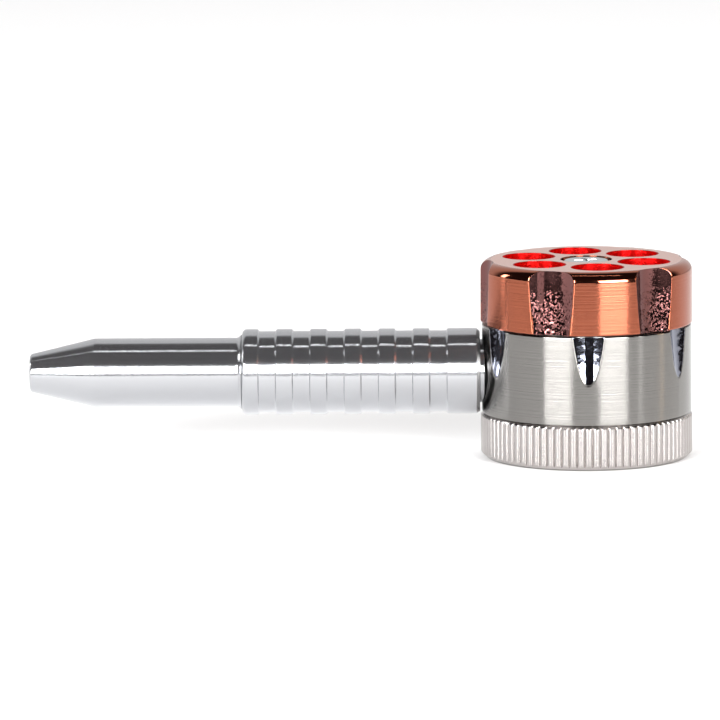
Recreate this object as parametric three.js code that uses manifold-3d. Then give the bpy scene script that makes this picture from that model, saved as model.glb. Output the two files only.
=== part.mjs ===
// A metal tobacco pipe with a revolving bowl of six chambers. Millimetres, +Z up.
// The origin is on the drum's axis at the underside of the base, and the stem runs out along -X.
// Every threaded joint is drawn plain, as a spigot in a slightly larger socket.
import * as THREE from "three";
import { mergeVertices } from "three/addons/utils/BufferGeometryUtils.js";
import Module from "manifold-3d";

const wasm = await Module();
wasm.setup();

// ---- Driving dimensions ----

const DRUM_R = 20; // bowl and knurled base
const BODY_R = 19.8; // plated body between them
const BASE_H = 8.6;
const BODY_H = 16.8;
const BOWL_H = 12;
const STEM_Z = 16.2; // height of the stem's axis
const STEM_END = 105.3; // drum axis to the lip of the mouthpiece

const CHAMBERS = 6;
const CHAMBER_R = 4.95;
const CHAMBER_CIRCLE_R = 11.5;
const CHAMBER_DEPTH = 9;
const BOWL_TURN = THREE.MathUtils.degToRad(-20.7); // how far the bowl stands from lined-up flutes

const FLUTE_CUTTER_R = 7.5;
const FLUTE_TILT = THREE.MathUtils.degToRad(5.1); // the flutes grow deeper towards the top
const FLUTE_RUNOUT_Z = 15.9; // where a flute's floor comes out through the body's side

const KNURL_RIDGES = 84;
const KNURL_DEPTH = 0.45;

const SEAM = 0.1; // half of the gap at each seam of the drum
const FIT = 0.2; // radial room in a threaded joint

const SCREW_R = 2; // M4
const SCREW_LENGTH = 25;
const HEAD_R = 4.4;
const HEAD_H = 2.65;
const HEAD_DEPTH = 0.15; // the head stands this far below the bowl's top
const COUNTERBORE_R = 4.85;
const COUNTERBORE_DEPTH = 3.5;
const WASHER_R = 4.5;
const WASHER_H = 0.6;
const SPRING_R = 3.2;
const SPRING_WIRE_R = 0.35;
const SPRING_TURNS = 3.5;
const SPRING_H = 4;
const NUT_H = 5;
const NUT_COLLAR_H = 1.2; // the part of the nut's height that holds the nylon ring
const SPIGOT_R = 4; // M8 threads at both ends of the barrel
const BASE_SPIGOT_R = 16.6;
const BASE_SPIGOT_H = 2.4;
const PORT_R = 2; // draw port in the deck, under one chamber
const DRAW_HOLE_R = 1.9; // under each chamber
const GASKET_R = 17.6;
const CORD_R = 0.45; // O-rings

const ROUND = 48; // facets round the drum
const STEM_ROUND = 24;
const SMALL_ROUND = 20;

// ---- Levels worked out from those ----

const bodyZ = BASE_H;
const bowlZ = BASE_H + BODY_H;
const topZ = bowlZ + BOWL_H;
const baseTop = bodyZ - SEAM;
const bodyTop = bowlZ - SEAM;
const bowlBottom = bowlZ + SEAM;
const chamberFloor = topZ - CHAMBER_DEPTH;
const deckUnder = bowlZ - 2.8;
const gasketSeat = bowlZ - 0.8;

// ---- Materials ----

const metal = (color, roughness) =>
  new THREE.MeshStandardMaterial({ color, roughness, metalness: 1 });
const plain = (color, roughness) =>
  new THREE.MeshStandardMaterial({ color, roughness, metalness: 0 });

const COPPER = metal(0xc98063, 0.25);
const NICKEL = metal(0xb9b4ab, 0.22);
const ALUMINIUM = metal(0xcfd0d2, 0.3);
const STEEL = metal(0x9fa6a8, 0.35);
const RUBBER = plain(0x1a1a1a, 0.8);
const PTFE = plain(0xe8e6df, 0.5);
const NYLON = plain(0x3a66b0, 0.5);

// ---- Geometry helpers ----

// A solid of revolution about +Z. The outline is a closed list of [radius, height].
function turned(outline, facets = ROUND) {
  const points = [...outline, outline[0]].map(([r, z]) => new THREE.Vector2(r, z));
  return new THREE.LatheGeometry(points, facets).rotateX(Math.PI / 2);
}

// A solid of revolution about the stem's axis. The outline is [radius, distance from the drum's axis].
function turnedOnStem(outline, facets = STEM_ROUND) {
  const points = [...outline, outline[0]].map(([r, x]) => new THREE.Vector2(r, x));
  return new THREE.LatheGeometry(points, facets).rotateZ(Math.PI / 2).translate(0, 0, STEM_Z);
}

// An upright cylinder between two heights.
function post(radius, low, high, facets = SMALL_ROUND, x = 0) {
  const height = high - low;
  return new THREE.CylinderGeometry(radius, radius, height, facets)
    .rotateX(Math.PI / 2)
    .translate(x, 0, low + height / 2);
}

// A flat ring between two heights.
function ring(inner, outer, low, high, facets = SMALL_ROUND) {
  return turned([[inner, low], [outer, low], [outer, high], [inner, high]], facets);
}

// An O-ring about the drum's axis.
function oRing(radius, z) {
  return new THREE.TorusGeometry(radius, CORD_R, 6, 36).translate(0, 0, z);
}

// An O-ring about the stem's axis, at a distance from the drum's axis.
function oRingOnStem(radius, distance) {
  return new THREE.TorusGeometry(radius, CORD_R, 6, SMALL_ROUND)
    .rotateY(Math.PI / 2)
    .translate(-distance, 0, STEM_Z);
}

// The corners of a regular polygon.
function corners(x, y, radius, sides) {
  return Array.from({ length: sides }, (_, i) => {
    const a = (i * 2 * Math.PI) / sides;
    return new THREE.Vector2(x + radius * Math.cos(a), y + radius * Math.sin(a));
  });
}

function toSolid(geometry) {
  const bare = geometry.index ? geometry.toNonIndexed() : geometry.clone();
  bare.deleteAttribute("normal");
  bare.deleteAttribute("uv");
  const merged = mergeVertices(bare, 1e-4);
  return new wasm.Manifold(
    new wasm.Mesh({
      numProp: 3,
      vertProperties: merged.getAttribute("position").array,
      triVerts: new Uint32Array(merged.index.array),
    }),
  );
}

function toGeometry(solid) {
  const mesh = solid.getMesh();
  const geometry = new THREE.BufferGeometry();
  geometry.setAttribute("position", new THREE.BufferAttribute(mesh.vertProperties, 3));
  geometry.setIndex(new THREE.BufferAttribute(mesh.triVerts, 1));
  geometry.computeVertexNormals();
  return geometry;
}

// A piece with others joined to it, and then others cut from it.
function carve(blank, { join = [], cut = [] }) {
  let solid = toSolid(blank);
  for (const piece of join) solid = solid.add(toSolid(piece));
  for (const piece of cut) solid = solid.subtract(toSolid(piece));
  return toGeometry(solid);
}

// Copies of a geometry turned round the drum's axis, the first by `start` radians.
function around(count, start, make) {
  return Array.from({ length: count }, (_, i) =>
    make().rotateZ(start + (i * 2 * Math.PI) / count),
  );
}

// The cutter that leaves one flute along +X: a round bar that leans in over the bowl.
function fluteCutter() {
  const length = 60;
  return new THREE.CylinderGeometry(FLUTE_CUTTER_R, FLUTE_CUTTER_R, length, 48)
    .rotateX(Math.PI / 2)
    .rotateY(-FLUTE_TILT)
    .translate(BODY_R + FLUTE_CUTTER_R / Math.cos(FLUTE_TILT), 0, FLUTE_RUNOUT_Z);
}

// ---- The bowl group: it turns on the pivot screw ----

function revolvingBowl() {
  const shoulder = 2;
  const edge = 0.3;
  const shoulderArc = [0, 0.25, 0.5, 0.75, 1].map((t) => {
    const a = (t * Math.PI) / 2;
    return [DRUM_R - shoulder + shoulder * Math.cos(a), topZ - shoulder + shoulder * Math.sin(a)];
  });
  const blank = turned([
    [SCREW_R + 0.35, bowlBottom],
    [DRUM_R - edge, bowlBottom],
    [DRUM_R, bowlBottom + edge],
    ...shoulderArc,
    [COUNTERBORE_R, topZ],
    [COUNTERBORE_R, topZ - COUNTERBORE_DEPTH],
    [SCREW_R + 0.35, topZ - COUNTERBORE_DEPTH],
  ]);
  // Each chamber is a cup with a dished floor and a small draw hole through it.
  const cup = () =>
    turned(
      [
        [0, bowlBottom - 1],
        [DRAW_HOLE_R, bowlBottom - 1],
        [DRAW_HOLE_R, chamberFloor - 1],
        [CHAMBER_R, chamberFloor],
        [CHAMBER_R, topZ + 1],
        [0, topZ + 1],
      ],
      SMALL_ROUND,
    ).translate(CHAMBER_CIRCLE_R, 0, 0);
  const half = Math.PI / CHAMBERS;
  return carve(blank, {
    cut: [...around(CHAMBERS, 0, cup), ...around(CHAMBERS, half, fluteCutter)],
  });
}

// A pressed steel disc with seven holes, lying on a chamber's floor.
function chamberScreen() {
  const radius = CHAMBER_R - 0.2;
  const holeR = 0.75;
  const holeCircleR = 2.8;
  const disc = new THREE.Shape(corners(0, 0, radius, SMALL_ROUND));
  disc.holes.push(new THREE.Path(corners(0, 0, holeR, 6)));
  for (const centre of corners(0, 0, holeCircleR, 6)) {
    disc.holes.push(new THREE.Path(corners(centre.x, centre.y, holeR, 6)));
  }
  return new THREE.ExtrudeGeometry(disc, { depth: 0.5, bevelEnabled: false })
    .translate(CHAMBER_CIRCLE_R, 0, chamberFloor + 0.05);
}

// ---- The body group ----

function drumBody() {
  const edge = 0.25;
  const wallR = 15.5;
  const threadR = BASE_SPIGOT_R + FIT;
  const threadTop = bodyZ + BASE_SPIGOT_H + 0.2;
  const blank = turned([
    [threadR, bodyZ],
    [BODY_R - edge, bodyZ],
    [BODY_R, bodyZ + edge],
    [BODY_R, bodyTop - edge],
    [BODY_R - edge, bodyTop],
    [GASKET_R, bodyTop],
    [GASKET_R, gasketSeat],
    [SCREW_R + 0.15, gasketSeat],
    [SCREW_R + 0.15, deckUnder],
    [wallR, deckUnder],
    [wallR, threadTop],
    [threadR, threadTop],
  ]);
  const stemBoss = turnedOnStem([[0, 12.4], [5, 12.4], [5, 17], [0, 17]], SMALL_ROUND);
  const stemThread = turnedOnStem(
    [[0, 11], [SPIGOT_R + FIT, 11], [SPIGOT_R + FIT, 18.2], [6.4, 18.2], [6.4, 22], [0, 22]],
  );
  const drawPort = post(PORT_R, deckUnder - 1, bodyTop + 1, SMALL_ROUND, CHAMBER_CIRCLE_R);
  const half = Math.PI / CHAMBERS;
  return carve(blank, {
    join: [stemBoss],
    cut: [stemThread, drawPort, ...around(CHAMBERS, half, fluteCutter)],
  });
}

function deckGasket() {
  const disc = ring(SCREW_R + 0.4, GASKET_R - FIT, gasketSeat + 0.02, bowlBottom - 0.05, ROUND);
  const port = post(PORT_R, gasketSeat - 1, bowlBottom + 1, SMALL_ROUND, CHAMBER_CIRCLE_R);
  return carve(disc, { cut: [port] });
}

function pivotScrew() {
  const headTop = topZ - HEAD_DEPTH;
  const headUnder = headTop - HEAD_H;
  const blank = turned(
    [
      [0, headUnder - SCREW_LENGTH],
      [SCREW_R - 0.4, headUnder - SCREW_LENGTH],
      [SCREW_R, headUnder - SCREW_LENGTH + 0.4],
      [SCREW_R, headUnder],
      [HEAD_R, headUnder],
      [HEAD_R, headTop - 0.6],
      [HEAD_R - 0.3, headTop - 0.15],
      [HEAD_R - 0.9, headTop],
      [0, headTop],
    ],
    SMALL_ROUND,
  );
  const arm = () => new THREE.BoxGeometry(4.4, 1, 3.2).translate(0, 0, headTop);
  return carve(blank, { cut: [arm(), arm().rotateZ(Math.PI / 2)] });
}

// A round-wire compression spring.
function tensionSpring(low) {
  class Helix extends THREE.Curve {
    getPoint(t, target = new THREE.Vector3()) {
      const a = 2 * Math.PI * SPRING_TURNS * t;
      const z = low + SPRING_WIRE_R + (SPRING_H - 2 * SPRING_WIRE_R) * t;
      return target.set(SPRING_R * Math.cos(a), SPRING_R * Math.sin(a), z);
    }
  }
  const section = new THREE.Shape(corners(0, 0, SPRING_WIRE_R, 6));
  return new THREE.ExtrudeGeometry(section, { steps: 12 * SPRING_TURNS, extrudePath: new Helix() });
}

// A hexagon nut whose lower collar holds a nylon ring.
function lockNut(low) {
  const hexR = 3.5 / Math.cos(Math.PI / 6);
  const recessR = 2.95;
  return carve(post(hexR, low + NUT_COLLAR_H, low + NUT_H, 6), {
    join: [post(recessR + 0.4, low, low + NUT_COLLAR_H + 0.1)],
    cut: [
      post(SCREW_R + 0.05, low - 1, low + NUT_H + 1),
      post(recessR, low - 1, low + NUT_COLLAR_H - 0.1),
    ],
  });
}

// ---- The base group: it unscrews downwards ----

function baseCap() {
  const foot = 1;
  const crown = 0.7;
  const cupR = 14.6;
  const floor = 2.4;
  const spigotTop = baseTop + BASE_SPIGOT_H;
  const blank = turned([
    [0, 0],
    [DRUM_R - foot, 0],
    [DRUM_R, foot],
    [DRUM_R, baseTop - crown],
    [DRUM_R - crown, baseTop],
    [18.2, baseTop],
    [18.2, baseTop - 0.9],
    [17, baseTop - 0.9],
    [17, baseTop],
    [BASE_SPIGOT_R, baseTop],
    [BASE_SPIGOT_R, spigotTop - 0.3],
    [BASE_SPIGOT_R - 0.3, spigotTop],
    [cupR, spigotTop],
    [cupR, floor],
    [0, floor],
  ]);
  // A straight knurl: crests and valleys by turns, as deep from foot to crown.
  const rim = corners(0, 0, 1, 2 * KNURL_RIDGES).map((point, i) =>
    point.multiplyScalar(i % 2 ? DRUM_R - KNURL_DEPTH : DRUM_R + 0.05),
  );
  const knurled = new THREE.ExtrudeGeometry(new THREE.Shape(rim), {
    depth: spigotTop + 2,
    bevelEnabled: false,
  });
  return toGeometry(toSolid(blank).intersect(toSolid(knurled.translate(0, 0, -1))));
}

// ---- The stem group: the barrel unscrews from the body, the mouthpiece from the barrel ----

const BARREL_R = 8.1;
const BARREL_GROOVE_R = 7.7;
const BARREL_BACK = 20.15; // its end face, just clear of the drum
const BARREL_FRONT = 65.1;
const BAND = 3.14;
const BAND_PITCH = 6.46;
const GRIP_GROOVES = 6;
const STEM_BORE_R = 2.6;

function gripBarrel() {
  const ease = 0.3; // sloped side of each groove
  const outline = [
    [BARREL_GROOVE_R, BARREL_BACK],
    [BARREL_R, BARREL_BACK + 0.5],
  ];
  for (let i = GRIP_GROOVES; i > 0; i--) {
    const near = BARREL_FRONT - i * BAND_PITCH;
    const far = near + BAND_PITCH - BAND;
    outline.push([BARREL_R, near - ease / 2], [BARREL_GROOVE_R, near + ease / 2]);
    outline.push([BARREL_GROOVE_R, far - ease / 2], [BARREL_R, far + ease / 2]);
  }
  return turnedOnStem([
    [STEM_BORE_R, 12.6],
    [SPIGOT_R - 0.3, 12.6],
    [SPIGOT_R, 12.9],
    [SPIGOT_R, 19.2],
    [6, 19.2],
    [6, BARREL_BACK],
    ...outline,
    [BARREL_R, BARREL_FRONT - 0.7],
    [BARREL_R - 0.7, BARREL_FRONT],
    [SPIGOT_R + 0.85, BARREL_FRONT],
    [SPIGOT_R + 0.85, BARREL_FRONT - 1.6],
    [SPIGOT_R + FIT, BARREL_FRONT - 1.6],
    [SPIGOT_R + FIT, BARREL_FRONT - 7.6],
    [STEM_BORE_R, BARREL_FRONT - 7.6],
  ]);
}

function mouthpiece() {
  const tubeR = 6.5;
  const lipR = 3.5;
  const taper = 12.3;
  const joint = BARREL_FRONT + 0.05;
  return turnedOnStem([
    [2.5, joint - 7],
    [SPIGOT_R - 0.3, joint - 7],
    [SPIGOT_R, joint - 6.7],
    [SPIGOT_R, joint - 1.4],
    [SPIGOT_R - 0.3, joint - 1.4],
    [SPIGOT_R - 0.3, joint],
    [tubeR + 0.7, joint],
    [tubeR + 0.2, joint + 0.25],
    [tubeR, joint + 0.8],
    [tubeR, STEM_END - taper],
    [lipR + 0.15, STEM_END - 0.6],
    [lipR - 0.1, STEM_END - 0.15],
    [lipR - 0.5, STEM_END],
    [1.6, STEM_END],
    [1.6, STEM_END - taper],
    [2.5, STEM_END - taper - 3],
  ]);
}

// ---- Assembly ----

const pipe = new THREE.Group();

function add(name, geometry, material, parent = pipe) {
  const mesh = new THREE.Mesh(geometry, material);
  mesh.name = name;
  parent.add(mesh);
  return mesh;
}

const bowl = new THREE.Group();
bowl.rotation.z = BOWL_TURN;
pipe.add(bowl);
add("revolving_bowl", revolvingBowl(), COPPER, bowl);
for (let i = 0; i < CHAMBERS; i++) {
  const screen = add(`chamber_screen_${i + 1}`, chamberScreen(), STEEL, bowl);
  screen.rotation.z = (i * 2 * Math.PI) / CHAMBERS;
}

const washerTop = topZ - COUNTERBORE_DEPTH + SEAM / 2 + WASHER_H;
const seatTop = deckUnder - SEAM / 2;
const springTop = seatTop - WASHER_H - SEAM / 2;
const springBottom = springTop - SPRING_H;
const capTop = springBottom - SEAM / 2;
const nutTop = capTop - WASHER_H - SEAM;
const nutBottom = nutTop - NUT_H;
const washer = (top, radius = WASHER_R) => ring(SCREW_R + FIT, radius, top - WASHER_H, top);
add("drum_body", drumBody(), NICKEL);
add("deck_gasket", deckGasket(), PTFE);
add("pivot_screw", pivotScrew(), STEEL);
add("head_washer", washer(washerTop), STEEL);
add("spring_seat_washer", washer(seatTop, WASHER_R + 0.1), STEEL);
add("tension_spring", tensionSpring(springBottom), STEEL);
add("spring_cap_washer", washer(capTop), STEEL);
add("lock_nut", lockNut(nutBottom), STEEL);
add("lock_nut_insert", ring(SCREW_R + 0.05, 2.85, nutBottom + SEAM, nutBottom + 1), NYLON);

add("base_cap", baseCap(), NICKEL);
add("base_o_ring", oRing(GASKET_R, baseTop - 0.42), RUBBER);

add("grip_barrel", gripBarrel(), ALUMINIUM);
add("barrel_o_ring", oRingOnStem(SPIGOT_R + 0.55, 18.7), RUBBER);
add("mouthpiece", mouthpiece(), ALUMINIUM);
add("mouthpiece_o_ring", oRingOnStem(SPIGOT_R + 0.25, BARREL_FRONT - 0.7), RUBBER);

export default pipe;
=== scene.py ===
"""A metal pipe with a revolving six-chamber bowl, standing on a pale floor in soft studio light.

Shapes are worked out in millimetres in the CAD frame and turned to metres as each piece is finished.
"""

import math

import bmesh
import bpy
from mathutils import Matrix, Vector, noise


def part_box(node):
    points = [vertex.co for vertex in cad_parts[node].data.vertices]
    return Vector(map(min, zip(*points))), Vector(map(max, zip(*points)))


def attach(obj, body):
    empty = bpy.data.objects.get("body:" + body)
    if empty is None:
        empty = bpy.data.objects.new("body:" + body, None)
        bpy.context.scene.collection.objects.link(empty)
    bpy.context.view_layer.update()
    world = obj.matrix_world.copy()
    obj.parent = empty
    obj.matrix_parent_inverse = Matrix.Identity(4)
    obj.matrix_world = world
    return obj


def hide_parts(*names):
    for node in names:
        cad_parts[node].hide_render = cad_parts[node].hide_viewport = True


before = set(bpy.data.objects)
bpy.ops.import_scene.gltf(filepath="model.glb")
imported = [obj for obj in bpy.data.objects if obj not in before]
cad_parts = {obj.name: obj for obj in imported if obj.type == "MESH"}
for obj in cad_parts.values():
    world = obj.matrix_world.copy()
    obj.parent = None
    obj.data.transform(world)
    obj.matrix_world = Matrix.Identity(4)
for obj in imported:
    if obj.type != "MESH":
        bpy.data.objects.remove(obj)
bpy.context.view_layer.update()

MM = 0.001


def span(node):
    """The lowest and highest corners of a CAD node, in millimetres."""
    low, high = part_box(node)
    return low / MM, high / MM


# ---- Sizes that the frame gives ----

base_high = span("base_cap")[1]
body_low, body_high = span("drum_body")
bowl_low, bowl_high = span("revolving_bowl")
gasket_low, gasket_high = span("deck_gasket")
screen_low, screen_high = span("chamber_screen_1")
barrel_low, barrel_high = span("grip_barrel")
mouth_low = span("mouthpiece")[0]

drum_r = base_high.x
body_r = body_high.x
top_z = bowl_high.z
stem_z = (barrel_low.z + barrel_high.z) / 2
barrel_r = (barrel_high.y - barrel_low.y) / 2
barrel_front = -barrel_low.x
stem_end = -mouth_low.x
screen_middle = (screen_low + screen_high) / 2
chamber_circle_r = math.hypot(screen_middle.x, screen_middle.y)
bowl_turn = math.atan2(screen_middle.y, screen_middle.x)
chamber_floor = screen_low.z - 0.05

# ---- Sizes that are this pipe's own ----

CHAMBERS = 6
CHAMBER_R = 4.95  # inside the lacquered wall
COUNTERBORE_R = 4.85
COUNTERBORE_DEPTH = 3.5
RIDGE_SWEEP = 0.86  # sine of the angle that a knurl ridge's round turns through on either side
SHOULDER = 2.0  # round between the bowl's side and its flat top
BOWL_FLUTE_R = 7.2  # how round a flute's floor is
BODY_FLUTE_R = 5.8
FLUTE_RISE = 0.138  # how steeply a flute deepens at its run-out, and how that eases
FLUTE_EASE = 0.00223
FLUTE_RUNOUT = 15.9  # height where a flute comes out through the body's side
RIDGES = 84  # of the knurled cap
KNURL_DEPTH = 0.42
BAND_PITCH = 6.46  # from one raised band of the grip to the next
BAND = 3.14  # how wide a band is, with a groove over the rest of the pitch
GROOVES = 6
GROOVE_DEPTH = 0.4
SCREW_R = 2.0  # M4
SCREW_PITCH = 0.7
SCREW_THREAD = 0.35
PORT_R = 2.0  # the draw port, in the deck and in the gasket
THREAD_PITCH = 1.0  # the base's and the stem's threads
BASE_THREAD = 0.4  # how deep they are cut
STEM_THREAD = 0.35
THREAD_ROOM = 0.2  # a socket's radius over its spigot's
RING_CORD = 0.45  # half the thickness of an O-ring
SPIGOT_R = 4.0  # the stem's threaded spigots
BASE_SPIGOT_R = 16.6
SEAT = 24.6  # height of the gasket's seat in the deck
DECK_UNDER = 22.6  # height of the deck's underside
STEM_BORE_R = 2.6

base_thread = {"depth": BASE_THREAD, "pitch": THREAD_PITCH}
stem_thread = {"depth": STEM_THREAD, "pitch": THREAD_PITCH}
screw_thread = {"depth": SCREW_THREAD, "pitch": SCREW_PITCH}

# Lays a piece that was turned about Z along the stem's axis.
LAID = Matrix.Translation((0, 0, stem_z)) @ Matrix.Rotation(-math.pi / 2, 4, "Y")


# ---- Nodes ----


def add(tree, kind, inputs=None, **settings):
    """Adds a node, with its settings and its inputs. A node given as an input means its first output."""
    node = tree.nodes.new(kind)
    for name, value in settings.items():
        setattr(node, name, value)
    for key, value in (inputs or {}).items():
        if isinstance(value, bpy.types.Node):
            value = value.outputs[0]
        if isinstance(value, bpy.types.NodeSocket):
            tree.links.new(value, node.inputs[key])
        else:
            node.inputs[key].default_value = value
    return node


MATH = "ShaderNodeMath"
VECTOR = "ShaderNodeVectorMath"


def linear(code):
    """An sRGB hex colour as linear light."""
    parts = [int(code[i : i + 2], 16) / 255 for i in (1, 3, 5)]
    return tuple(p / 12.92 if p <= 0.04045 else ((p + 0.055) / 1.055) ** 2.4 for p in parts) + (1.0,)


def finish(name, colour, roughness, metallic=1.0, **sockets):
    """A new material, with its tree and its surface shader. Extra sockets are set by their names."""
    material = bpy.data.materials.new(name)
    material.use_nodes = True
    tree = material.node_tree
    shader = tree.nodes["Principled BSDF"]
    shader.inputs["Base Color"].default_value = linear(colour)
    shader.inputs["Roughness"].default_value = roughness
    shader.inputs["Metallic"].default_value = metallic
    for socket, value in sockets.items():
        shader.inputs[socket.replace("_", " ").title()].default_value = value
    return material, tree, shader


def bump(tree, height, depth, feed=None):
    """Bump of `depth` mm at full height, on top of an earlier bump if there is one."""
    inputs = {"Height": height, "Distance": depth * MM, "Strength": 1.0}
    if feed:
        inputs["Normal"] = feed
    return add(tree, "ShaderNodeBump", inputs)


def dress(tree, shader, texture, turned_about=None):
    """Gives a surface its bump, and a turned surface the direction in which it smears reflections."""
    tree.links.new(texture.outputs[0], shader.inputs["Normal"])
    if turned_about:
        tangent = add(tree, "ShaderNodeTangent", direction_type="RADIAL", axis=turned_about)
        tree.links.new(tangent.outputs[0], shader.inputs["Tangent"])


def turning_lines(tree, axis, pitch, depth, feed=None):
    """Bump for the rings that a lathe tool leaves round an axis, `pitch` and `depth` in mm.

    Real feed marks are about 0.1 mm apart. They are drawn several times coarser, so that they show.
    """
    place = add(tree, "ShaderNodeTexCoord").outputs["Object"]
    along = add(tree, "ShaderNodeSeparateXYZ", {0: place}).outputs[axis]
    lines = add(
        tree,
        "ShaderNodeTexNoise",
        {"W": along, "Scale": 1 / (pitch * MM), "Detail": 3.0, "Roughness": 0.7},
        noise_dimensions="1D",
    )
    return bump(tree, lines.outputs["Fac"], depth, feed)


def speckle(tree, grain, depth, feed=None):
    """Bump for a fine random texture, `grain` and `depth` in mm."""
    place = add(tree, "ShaderNodeTexCoord").outputs["Object"]
    grains = add(tree, "ShaderNodeTexNoise", {"Vector": place, "Scale": 1 / (grain * MM), "Detail": 2.0})
    return bump(tree, grains.outputs["Fac"], depth, feed)


def scattered_grains(tree, grain, depth, share, feed=None, ends=None):
    """Bump for single raised grains on a smooth skin, over `share` of it.

    `ends` gives two heights in mm: full grains up to the first, almost none above the second.
    """
    place = add(tree, "ShaderNodeTexCoord").outputs["Object"]
    grains = add(tree, "ShaderNodeTexNoise", {"Vector": place, "Scale": 1 / (grain * MM), "Detail": 3.0})
    least = 0.62 - 0.3 * share
    raised = {"Value": grains.outputs["Fac"], "From Min": least, "From Max": least + 0.25}
    height = add(tree, "ShaderNodeMapRange", raised).outputs["Result"]
    if ends:
        along = add(tree, "ShaderNodeSeparateXYZ", {0: place}).outputs["Z"]
        rough, smooth = ends
        fade = add(
            tree,
            "ShaderNodeMapRange",
            {"Value": along, "From Min": rough * MM, "From Max": smooth * MM, "To Min": 1.0, "To Max": 0.06},
        ).outputs["Result"]
        height = add(tree, MATH, {0: height, 1: fade}, operation="MULTIPLY").outputs[0]
    return bump(tree, height, depth, feed)


# ---- Materials ----


def turned_copper_plate():
    """Bright copper plate over a turned zinc casting: the lathe's rings smear reflections upright."""
    material, tree, shader = finish("turned_copper_plate", "#A55E47", 0.18, anisotropic=1.0,
                                    anisotropic_rotation=0.25)
    rings = turning_lines(tree, "Z", 0.5, 0.026)
    dress(tree, shader, rings, turned_about="Z")
    return material


def polished_copper_plate():
    """Copper plate over a buffed shoulder: a clean mirror."""
    material, tree, shader = finish("polished_copper_plate", "#A8634C", 0.08)
    grain = speckle(tree, 0.5, 0.004)
    dress(tree, shader, grain)
    return material


def faced_copper_plate():
    """Copper plate over a faced top: satin, because the facing cut is finer than the turning."""
    material, tree, shader = finish("faced_copper_plate", "#E4C4BB", 0.45)
    grain = speckle(tree, 0.25, 0.004)
    dress(tree, shader, grain)
    return material


def cast_copper_plate():
    """Copper plate straight over the casting's skin: mirror bright, lumpy low down, smoother higher up. Its
    base colour is far darker than the other copper plate's: painted shade in the flutes' hollows.
    """
    # The dark base colour is painted shade for the flutes' hollows, not the plate's own colour; the bumps are
    # the real cast skin.
    material, tree, shader = finish("cast_copper_plate", "#704B49", 0.06)
    waves = speckle(tree, 2.2, 0.012)
    grains = scattered_grains(tree, 0.42, 0.1, 0.25, waves, (26, 34))
    dress(tree, shader, grains)
    return material


def red_lacquer():
    """Clear red lacquer over the plated chamber wall: metallic red with a gloss coat."""
    material, tree, shader = finish("red_lacquer", "#C60100", 0.3, metallic=0.85, coat_weight=0.15)
    rings = turning_lines(tree, "Z", 0.6, 0.01)
    grains = scattered_grains(tree, 0.6, 0.06, 0.2, rings)
    dress(tree, shader, grains)
    return material


def turned_nickel_plate():
    """Nickel plate over a turned zinc casting: warm grey, reflections smeared upright by the rings."""
    material, tree, shader = finish("turned_nickel_plate", "#858380", 0.18, anisotropic=1.0,
                                    anisotropic_rotation=0.25)
    rings = turning_lines(tree, "Z", 0.4, 0.018)
    dress(tree, shader, rings, turned_about="Z")
    return material


def cast_nickel_plate():
    """Nickel plate over the casting's skin, in the flutes' run-outs: a slightly wavy mirror."""
    material, tree, shader = finish("cast_nickel_plate", "#8C8F9C", 0.06)
    waves = speckle(tree, 1.3, 0.02)
    dress(tree, shader, waves)
    return material


def knurled_nickel_plate():
    """Nickel plate over pressed ridges: bright, and slightly rough in the valleys."""
    material, tree, shader = finish("knurled_nickel_plate", "#B2ADAB", 0.16, anisotropic=1.0,
                                    anisotropic_rotation=0.25)
    rings = turning_lines(tree, "Z", 0.5, 0.008)
    grain = speckle(tree, 0.35, 0.006, rings)
    dress(tree, shader, grain, turned_about="Z")
    return material


def turned_aluminium():
    """Bare turned and polished aluminium: blue-white, reflections smeared along the stem."""
    material, tree, shader = finish("turned_aluminium", "#B7B8BB", 0.2, metallic=0.95, anisotropic=1.0,
                                    anisotropic_rotation=0.25)
    rings = turning_lines(tree, "X", 0.3, 0.012)
    grain = speckle(tree, 0.3, 0.01, rings)
    dress(tree, shader, grain, turned_about="X")
    return material


def zinc_plated_steel():
    """Blue-passivated zinc plate on a rolled steel fastener: cool grey satin."""
    material, tree, shader = finish("zinc_plated_steel", "#C3CACB", 0.35)
    grain = speckle(tree, 0.3, 0.006)
    dress(tree, shader, grain)
    return material


def spring_steel():
    """Drawn music wire: dark bright steel."""
    material, tree, shader = finish("spring_steel", "#8C8B8A", 0.3)
    grain = speckle(tree, 0.15, 0.003)
    dress(tree, shader, grain)
    return material


def screen_steel():
    """Woven stainless wire, dulled by heat."""
    material, tree, shader = finish("screen_steel", "#8F8980", 0.38)
    grain = speckle(tree, 0.2, 0.004)
    dress(tree, shader, grain)
    return material


def ptfe_sheet():
    """Skived PTFE sheet: waxy, slightly translucent white."""
    material, tree, shader = finish("ptfe_sheet", "#E9E7E1", 0.5, metallic=0.0)
    grain = speckle(tree, 0.4, 0.006)
    dress(tree, shader, grain)
    return material


def nylon_ring():
    """Moulded blue nylon: the lock nut's friction ring."""
    material, tree, shader = finish("nylon_ring", "#2F5FB3", 0.45, metallic=0.0)
    grain = speckle(tree, 0.3, 0.005)
    dress(tree, shader, grain)
    return material


def nitrile_rubber():
    """Moulded black nitrile: a matt O-ring."""
    material, tree, shader = finish("nitrile_rubber", "#161616", 0.7, metallic=0.0)
    grain = speckle(tree, 0.25, 0.006)
    dress(tree, shader, grain)
    return material


def painted_board():
    """The studio's pale floor board: matt white paint."""
    return finish("painted_board", "#F2F2F2", 0.9, metallic=0.0)[0]


def black_velvet():
    """Black velvet: it gives back almost no light."""
    return finish("black_velvet", "#0A0A0A", 1.0, metallic=0.0)[0]


# ---- Shape helpers ----


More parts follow.
